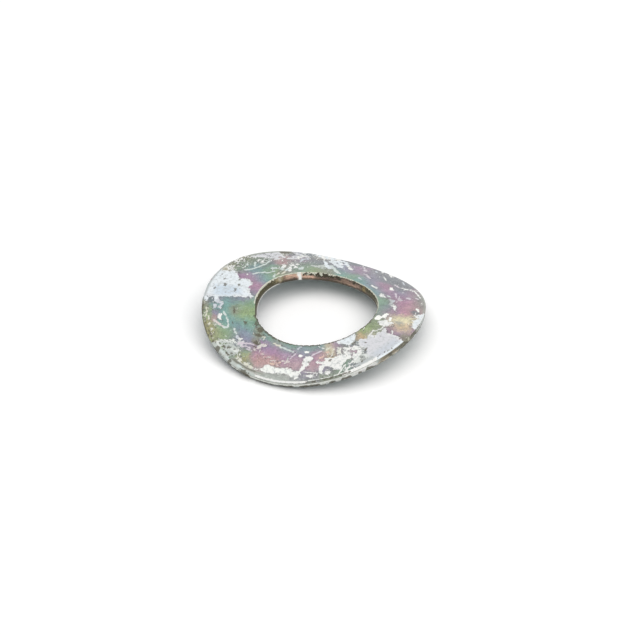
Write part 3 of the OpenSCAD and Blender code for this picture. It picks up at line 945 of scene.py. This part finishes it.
# Ragged mask: 1 where the field, in mm, stands over 0 after coarse and fine noise of the given
# depth is added, and a fringe of 1 just outside it
def makeRaggedMask():
    inputs = {"Field": 0, "Depth": 0.25, "Size": 0.3, "Soft": 0.025}
    tree, given, out = newGroup("raggedMask", inputs, {"Mask": "Float", "Fringe": "Float"})
    coarse, fine = ripples(tree, given["Size"], 4), ripples(tree, 0.07, 2, 0.03)
    rough = scaled(tree, coarse, 3.0, fine)
    value = scaled(tree, rough, given["Depth"], given["Field"])
    mask = smoothRise(tree, value, scaled(tree, given["Soft"], -1.0), given["Soft"])
    near = smoothRise(tree, value, -0.22, -0.02)
    tree.links.new(mask, out["Mask"])
    tree.links.new(maths(tree, "SUBTRACT", near, mask, clamp=True), out["Fringe"])
    return tree


# Fine grain of the plating: a tone round 0.5, and small pits
def makeGrain():
    inputs = {"Size": 0.06, "Pits": 0.3}
    tree, given, out = newGroup("platingGrain", inputs, {"Tone": "Float", "Pits": "Float"})
    pits = smoothRise(tree, lumps(tree, scaled(tree, given["Size"], 1.6), 1, 0.05), 0.68, 0.74)
    tree.links.new(lumps(tree, given["Size"], 3), out["Tone"])
    tree.links.new(scaled(tree, pits, given["Pits"]), out["Pits"])
    return tree


filmTint, streaks = makeFilmTint(), makeStreaks()
raggedMask, platingGrain = makeRaggedMask(), makeGrain()


# Ragged mask of one of the washer's fields
def raggedField(tree, name, rag):
    return useGroup(tree, raggedMask, Field=field(tree, name), Depth=rag[0], Size=rag[1])


# The coat of a cut edge: its lower colour where the level is low, and its upper one over that
def coated(tree, level, low, high):
    lower, upper = field(tree, "coatLow", "Color"), field(tree, "coatHigh", "Color")
    return blend(tree, smoothRise(tree, level, low, high), lower, upper)


# A material with its Principled shader, and the tree it is in
def newMaterial(name, metallic):
    material = bpy.data.materials.new(name)
    material.use_nodes = True
    shader = material.node_tree.nodes["Principled BSDF"]
    shader.inputs["Metallic"].default_value = metallic
    washer.data.materials.append(material)
    return material.node_tree, shader


# Bump from a height that is `deep` mm from 0 to 1
def addBump(tree, shader, height, deep):
    bump = addNode(tree, "Bump", {"Height": height, "Strength": 1.0, "Distance": deep * mm})
    tree.links.new(bump[0], shader.inputs["Normal"])


# Pits and grain of a cut edge over its base colour
def finishEdge(tree, shader, base, look):
    grain = useGroup(tree, platingGrain, Size=0.1, Pits=look["pits"])
    tree.links.new(cover(tree, base, grain["Pits"], "pit"), shader.inputs["Base Color"])
    shader.inputs["Roughness"].default_value = 0.5
    addBump(tree, shader, grain["Tone"], look["bump"])


# How strong each effect is, from 0 to 1, with depths and sizes in mm. A rag is how far a mask's
# edge strays and in lumps of what size
faceLook = {
    "metallic": 0.55,
    "roughness": 0.28,
    "grainRoughness": 0.25,  # added to it by the grain
    "bump": 0.006,
    "wornRag": (0.25, 0.35),
    "highlightAndStrokeRag": (0.1, 0.22),
    "crustRag": (0.12, 0.18),
    "grimeAndShadeRag": (0.12, 0.2),
    "specks": (0.22, -0.27),  # mm that their field gains where they are thick, and starts from
    "streaks": (-0.13, 0.74),  # the level that streaks stand over: its fall there, and its start
    "fringeShade": 0.55,  # painted shade along the film's broken edges
    "dullZinc": 0.65,  # clouds on the bare zinc, and on its arcs of painted highlight and its smooth strokes
    "dullHighlightAndStroke": 0.25,
    "marks": 0.5,
    "scratches": 0.85,
    "scratchDepth": 1.5,  # against the grain's
    "dirt": 0.8,
}


# Film with bare patches, specks, streaks, scratches and crusts over it
def makeFace():
    s = faceLook
    tree, shader = newMaterial("chromated zinc", s["metallic"])
    thick, zinc = field(tree, "specks"), field(tree, "bare", "Color")
    cloud = smoothRise(tree, lumps(tree, 0.2, 4, 0.01), 0.45, 0.7)

    # where the film is gone: patches, specks and streaks
    worn = raggedField(tree, "worn", s["wornRag"])
    specks = useGroup(tree, raggedMask, Field=scaled(tree, thick, *s["specks"]), Size=0.16)
    limit = scaled(tree, thick, *s["streaks"])
    streak = maths(tree, "SUBTRACT", useGroup(tree, streaks)["Value"], limit)
    streak = smoothRise(tree, streak, -0.02, 0.02)
    bare = greatest(tree, worn["Mask"], specks["Mask"], streak)

    # the film, with painted shade along its broken edges, and dark flecks
    # noise that breaks up the painted shade along the broken edges
    fringeBreaks = smoothRise(tree, lumps(tree, 0.18, 3, 0.09), 0.35, 0.65)
    fringeShade = scaled(tree, greatest(tree, worn["Fringe"], specks["Fringe"]), fringeBreaks)
    filmed = cover(tree, useGroup(tree, filmTint)["Color"], fringeShade, "fringeShade", s["fringeShade"])
    flecks = scaled(tree, thick, 0.08, lumps(tree, 0.2, 3, 0.11))
    filmed = cover(tree, filmed, smoothRise(tree, flecks, 0.63, 0.73), "fleck")
    base = blend(tree, bare, filmed, cover(tree, zinc, cloud, "dull", s["dullZinc"]))
    marks = smoothRise(tree, lumps(tree, 0.22, 3, 0.17), 0.62, 0.7)
    base = cover(tree, base, marks, "mark", s["marks"])

    # arcs and smooth strokes over both, with a painted highlight where the arcs lie on the rim's shoulder
    highlightAndStroke = raggedField(tree, "highlightAndStroke", s["highlightAndStrokeRag"])["Mask"]
    base = blend(tree, highlightAndStroke, base, cover(tree, zinc, cloud, "dull", s["dullHighlightAndStroke"]))

    # scratches with broken edges
    broken = ripples(tree, 0.14, 2, 0.02)
    aside = maths(tree, "ABSOLUTE", field(tree, "scratchOff"))
    line = smoothRise(tree, scaled(tree, broken, 5.0, aside), 1.3, 0.5)
    close = smoothRise(tree, scaled(tree, broken, 4.0, field(tree, "scratchNear")), 2.0, 1.2)
    scratch = scaled(tree, line, close)
    base = cover(tree, base, scratch, "white", s["scratches"])

    # crusts, grime with painted shade, and pits
    crust = raggedField(tree, "crust", s["crustRag"])["Mask"]
    grimeAndShade = raggedField(tree, "grimeAndShade", s["grimeAndShadeRag"])["Mask"]
    base = cover(tree, base, greatest(tree, crust, grimeAndShade), "crust", s["dirt"])
    grain = useGroup(tree, platingGrain)
    base = cover(tree, base, grain["Pits"], "pit")
    tree.links.new(base, shader.inputs["Base Color"])
    rough = scaled(tree, grain["Tone"], s["grainRoughness"], s["roughness"])
    tree.links.new(rough, shader.inputs["Roughness"])
    addBump(tree, shader, scaled(tree, scratch, -s["scratchDepth"], grain["Tone"]), s["bump"])


rimLook = {"metallic": 0.4, "clouds": 0.35, "dirt": 0.88, "pits": 0.6, "bump": 0.015}


# Rim: coat that changes from its upper to its lower half, with dirt over it and at its foot, and a dark
# line under the shoulder
def makeRim():
    s = rimLook
    tree, shader = newMaterial("sheared rim", s["metallic"])
    rough = scaled(tree, lumps(tree, 0.2, 3, 0.06), 0.6, -0.3)
    level = maths(tree, "ADD", field(tree, "level"), rough)
    cloud = smoothRise(tree, lumps(tree, 0.16, 3), 0.42, 0.66)
    base = cover(tree, coated(tree, level, 0.2, 0.45), cloud, "rimGrey", s["clouds"])
    patchy = scaled(tree, lumps(tree, 0.3, 4, 0.04), 2.4, -1.8)
    soot = smoothRise(tree, maths(tree, "ADD", patchy, field(tree, "soot")), -0.12, 0.12)
    foot = smoothRise(tree, scaled(tree, field(tree, "feet"), -0.3, level), 0.14, 0.04)
    under = scaled(tree, smoothRise(tree, level, 0.68, 0.78), field(tree, "shoulder"))
    base = cover(tree, base, greatest(tree, soot, under, foot), "rimDark", s["dirt"])
    finishEdge(tree, shader, base, s)


boreLook = {
    "metallic": 0.4,
    "streaks": 0.75,
    "flecks": 0.6,
    # foot: how strong the painted shade at the wall's foot is
    "foot": 0.85,
    "pits": 0.4,
    "bump": 0.015,
}


# Bore wall from its top: pale ragged lip, dark torn band, copper or olive land with streaks along it and
# flecks, a dark foot of painted shade, and a heel of painted highlight under that
def makeBore():
    s = boreLook
    tree, shader = newMaterial("sheared bore", s["metallic"])
    level = field(tree, "level")
    rough = scaled(tree, lumps(tree, 0.18, 3, 0.06), 1.2, -0.6)
    base = coated(tree, scaled(tree, rough, 0.5, level), 0.3, 0.55)

    # streaks: noise in mm that runs on along the wall and changes quickly down it
    bands = addNode(tree, "CombineXYZ", {2: scaled(tree, level, 9.0)})[0]
    here = addNode(tree, "TexCoord")["Object"]
    along = addNode(tree, "VectorMath", {0: here, 3: 1 / mm}, operation="SCALE")[0]
    moved = addNode(tree, "VectorMath", {0: along, 1: bands}, operation="ADD")[0]
    feeds = {"Vector": moved, "Scale": 1.0, "Detail": 3.0, "Roughness": 0.65}
    streak = smoothRise(tree, addNode(tree, "TexNoise", feeds)[0], 0.45, 0.65)
    drawn = smoothRise(tree, field(tree, "torn"), -1.4, 0)  # 0 on the bright mark, which is plain
    base = cover(tree, base, scaled(tree, streak, drawn), "boreDark", s["streaks"])
    fleck = smoothRise(tree, lumps(tree, 0.13, 3, 0.19), 0.56, 0.68)
    base = cover(tree, base, scaled(tree, fleck, drawn), "boreFleck", s["flecks"])

    # from the torn band down to the heel, with painted shade at the foot and a painted highlight on the
    # heel, and the lip over all of it
    edge = scaled(tree, rough, 0.7, level)
    torn = smoothRise(tree, scaled(tree, field(tree, "torn"), 0.4, edge), 1.0, 1.08)
    base = cover(tree, base, torn, "boreDark")
    # painted shade along the wall's foot, left off the bright mark
    foot = smoothRise(tree, scaled(tree, rough, 0.3, level), 0.34, 0.2)
    base = cover(tree, base, scaled(tree, foot, drawn), "boreDark", s["foot"])
    # painted highlight along the heel
    heelHighlight = scaled(tree, smoothRise(tree, level, 0.2, 0.12), field(tree, "heelHighlight"))
    base = cover(tree, base, heelHighlight, "gleam")
    ragged = scaled(tree, rough, field(tree, "spiky"), level)
    lip = smoothRise(tree, maths(tree, "ADD", ragged, field(tree, "lip")), 0.98, 1.06)
    finishEdge(tree, shader, cover(tree, base, lip, "lip"), s)


makeFace()
makeRim()
makeBore()
slots = np.maximum(kind, np.roll(kind, -1, axis=1)).astype(np.int32)
washer.data.polygons.foreach_set("material_index", slots.reshape(-1))
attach(washer, "root")
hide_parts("washer")
print("finished the faces, the rim and the bore")

studio = {
    "overhead": 0.60,  # share of the light from the round lamp over the washer
    "overheadTint": (1.045, 1.0, 0.97),
    "halfAngle": 40,  # degrees that the lamp spreads to each side
    "lean": 13,  # degrees off the vertical
    "leanTo": 68,  # degrees round from the front
    "away": 500,  # mm
    "around": 0.44,  # share of the light from the room
    "aroundTint": (0.93, 1.0, 1.045),
    "paper": 120,  # half the width of the floor, mm
    "paperDrop": 0.002,  # mm under the feet
    "paperLit": 0.85,
    "paperSeen": 1.05,
}


# Disc lamp that lights a level surface to the share e: its power is pi * area * e / sin^2(half
# angle)
def addLamp():
    s = studio
    half, lean, leanTo = (math.radians(s[k]) for k in ("halfAngle", "lean", "leanTo"))
    radius = s["away"] * mm * math.tan(half)
    level = Vector((math.sin(leanTo), -math.cos(leanTo), 0))
    towards = level * math.sin(lean) + Vector((0, 0, math.cos(lean)))
    lamp = bpy.data.objects.new("overhead", bpy.data.lights.new("overhead", "AREA"))
    bpy.context.scene.collection.objects.link(lamp)
    lamp.data.shape = "DISK"
    lamp.visible_glossy = False
    lamp.data.size = 2 * radius
    lamp.data.color = s["overheadTint"]
    lamp.data.energy = math.pi * math.pi * radius**2 * s["overhead"] / math.sin(half) ** 2
    turning = towards.to_track_quat("Z", "Y").to_matrix().to_4x4()
    lamp.matrix_world = Matrix.Translation(towards * s["away"] * mm) @ turning


# White room: the lens and the gloss see plain white, and the rest sees the soft light around
def addRoom():
    world = bpy.data.worlds.new("studio")
    bpy.context.scene.world = world
    world.use_nodes = True
    tree = world.node_tree
    path = addNode(tree, "LightPath")
    seen = maths(tree, "ADD", path["Is Camera Ray"], path["Is Glossy Ray"])
    seen = maths(tree, "ADD", seen, path["Is Transmission Ray"], clamp=True)
    soft = colour(c * studio["around"] for c in studio["aroundTint"])
    tree.links.new(blend(tree, seen, soft, grey(1)), tree.nodes["Background"].inputs["Color"])


# White paper that the lens sees a little whiter, so that it clears while its shadows stay
def addFloor():
    mesh = bpy.data.meshes.new("floor")
    half, z = studio["paper"] * mm, -studio["paperDrop"] * mm
    corners = [(-half, -half, z), (half, -half, z), (half, half, z), (-half, half, z)]
    mesh.from_pydata(corners, [], [(0, 1, 2, 3)])
    floor = bpy.data.objects.new("floor", mesh)
    bpy.context.scene.collection.objects.link(floor)
    paper = bpy.data.materials.new("white paper")
    paper.use_nodes = True
    tree = paper.node_tree
    shader = tree.nodes["Principled BSDF"]
    shader.inputs["Roughness"].default_value = 1.0
    shader.inputs["Specular IOR Level"].default_value = 0.0
    path = addNode(tree, "LightPath")
    seen = maths(tree, "ADD", path["Is Camera Ray"], path["Is Glossy Ray"], clamp=True)
    white = blend(tree, seen, grey(studio["paperLit"]), grey(studio["paperSeen"]))
    tree.links.new(white, shader.inputs["Base Color"])
    mesh.materials.append(paper)


view = {
    "azimuth": 30.0,  # degrees round from the front
    "elevation": 35.3,
    "distance": 300.0,  # mm
    "lens": 253.5,
    "aside": 0.243,  # mm right of the washer's middle, where the lens points
    "height": 0.80,  # mm over the ground
    "roll": 0.9,
}


# Camera at `distance` from its target, back along the azimuth and up by the elevation
def addCamera():
    turned, raised = math.radians(view["azimuth"]), math.radians(view["elevation"])
    across = Vector((math.cos(turned), math.sin(turned), 0))
    level = Vector((math.sin(turned), -math.cos(turned), 0))
    back = level * math.cos(raised) + Vector((0, 0, math.sin(raised)))
    target = (across * view["aside"] + Vector((0, 0, view["height"]))) * mm
    camera = bpy.data.objects.new("camera", bpy.data.cameras.new("camera"))
    bpy.context.scene.collection.objects.link(camera)
    camera.data.lens = view["lens"]
    camera.data.clip_start, camera.data.clip_end = 0.01, 5
    roll = Matrix.Rotation(math.radians(-view["roll"]), 4, "Z")
    turning = (-back).to_track_quat("-Z", "Y").to_matrix().to_4x4() @ roll
    camera.matrix_world = Matrix.Translation(target + back * view["distance"] * mm) @ turning
    bpy.context.scene.camera = camera


addLamp()
addRoom()
addFloor()
addCamera()
bpy.context.scene.view_settings.view_transform = "Standard"
print("lamp, room, floor and camera set")
